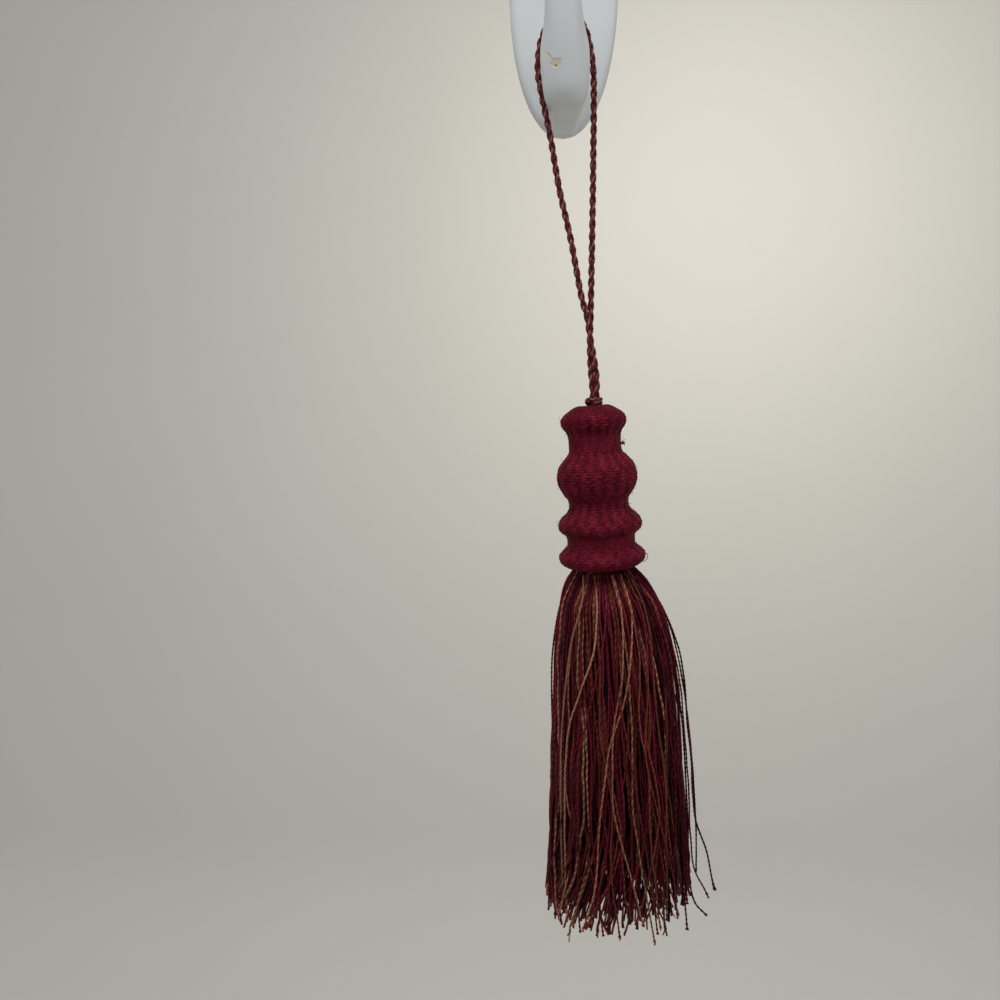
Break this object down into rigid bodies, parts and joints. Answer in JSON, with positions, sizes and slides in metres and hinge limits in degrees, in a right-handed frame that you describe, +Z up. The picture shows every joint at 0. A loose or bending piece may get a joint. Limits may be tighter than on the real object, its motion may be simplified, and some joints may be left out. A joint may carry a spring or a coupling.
{
  "type": "drapery tassel on hook",
  "caption": "Drapery tassel hung by a twisted cord loop on a white oval-backed hook: turned yarn-wound head over a full round skirt of long mixed-colour strands.",
  "frame": {"origin": "centre of the hook plate's flat back face", "axes": "+Y out of the back face towards the door or wall, +Z up, the arm and tassel towards -Y"},
  "size_m": [0.0513, 0.041, 0.2821],
  "materials": {
    "hook_paint": "white gloss paint over a casting",
    "loop_cord": "two-ply twisted rayon cord, burgundy with tan and plum yarns",
    "head_yarn": "satin crimson yarn wound in close turns",
    "skirt_strands": "cut two-ply strands in burgundy, plum, rust, tan and dark brown"
  },
  "bodies": {
    "root": {"hook": "hook_paint", "cord_loop": "loop_cord", "cord_knot": "loop_cord", "head": "head_yarn", "skirt": "skirt_strands"}
  },
  "joints": []
}
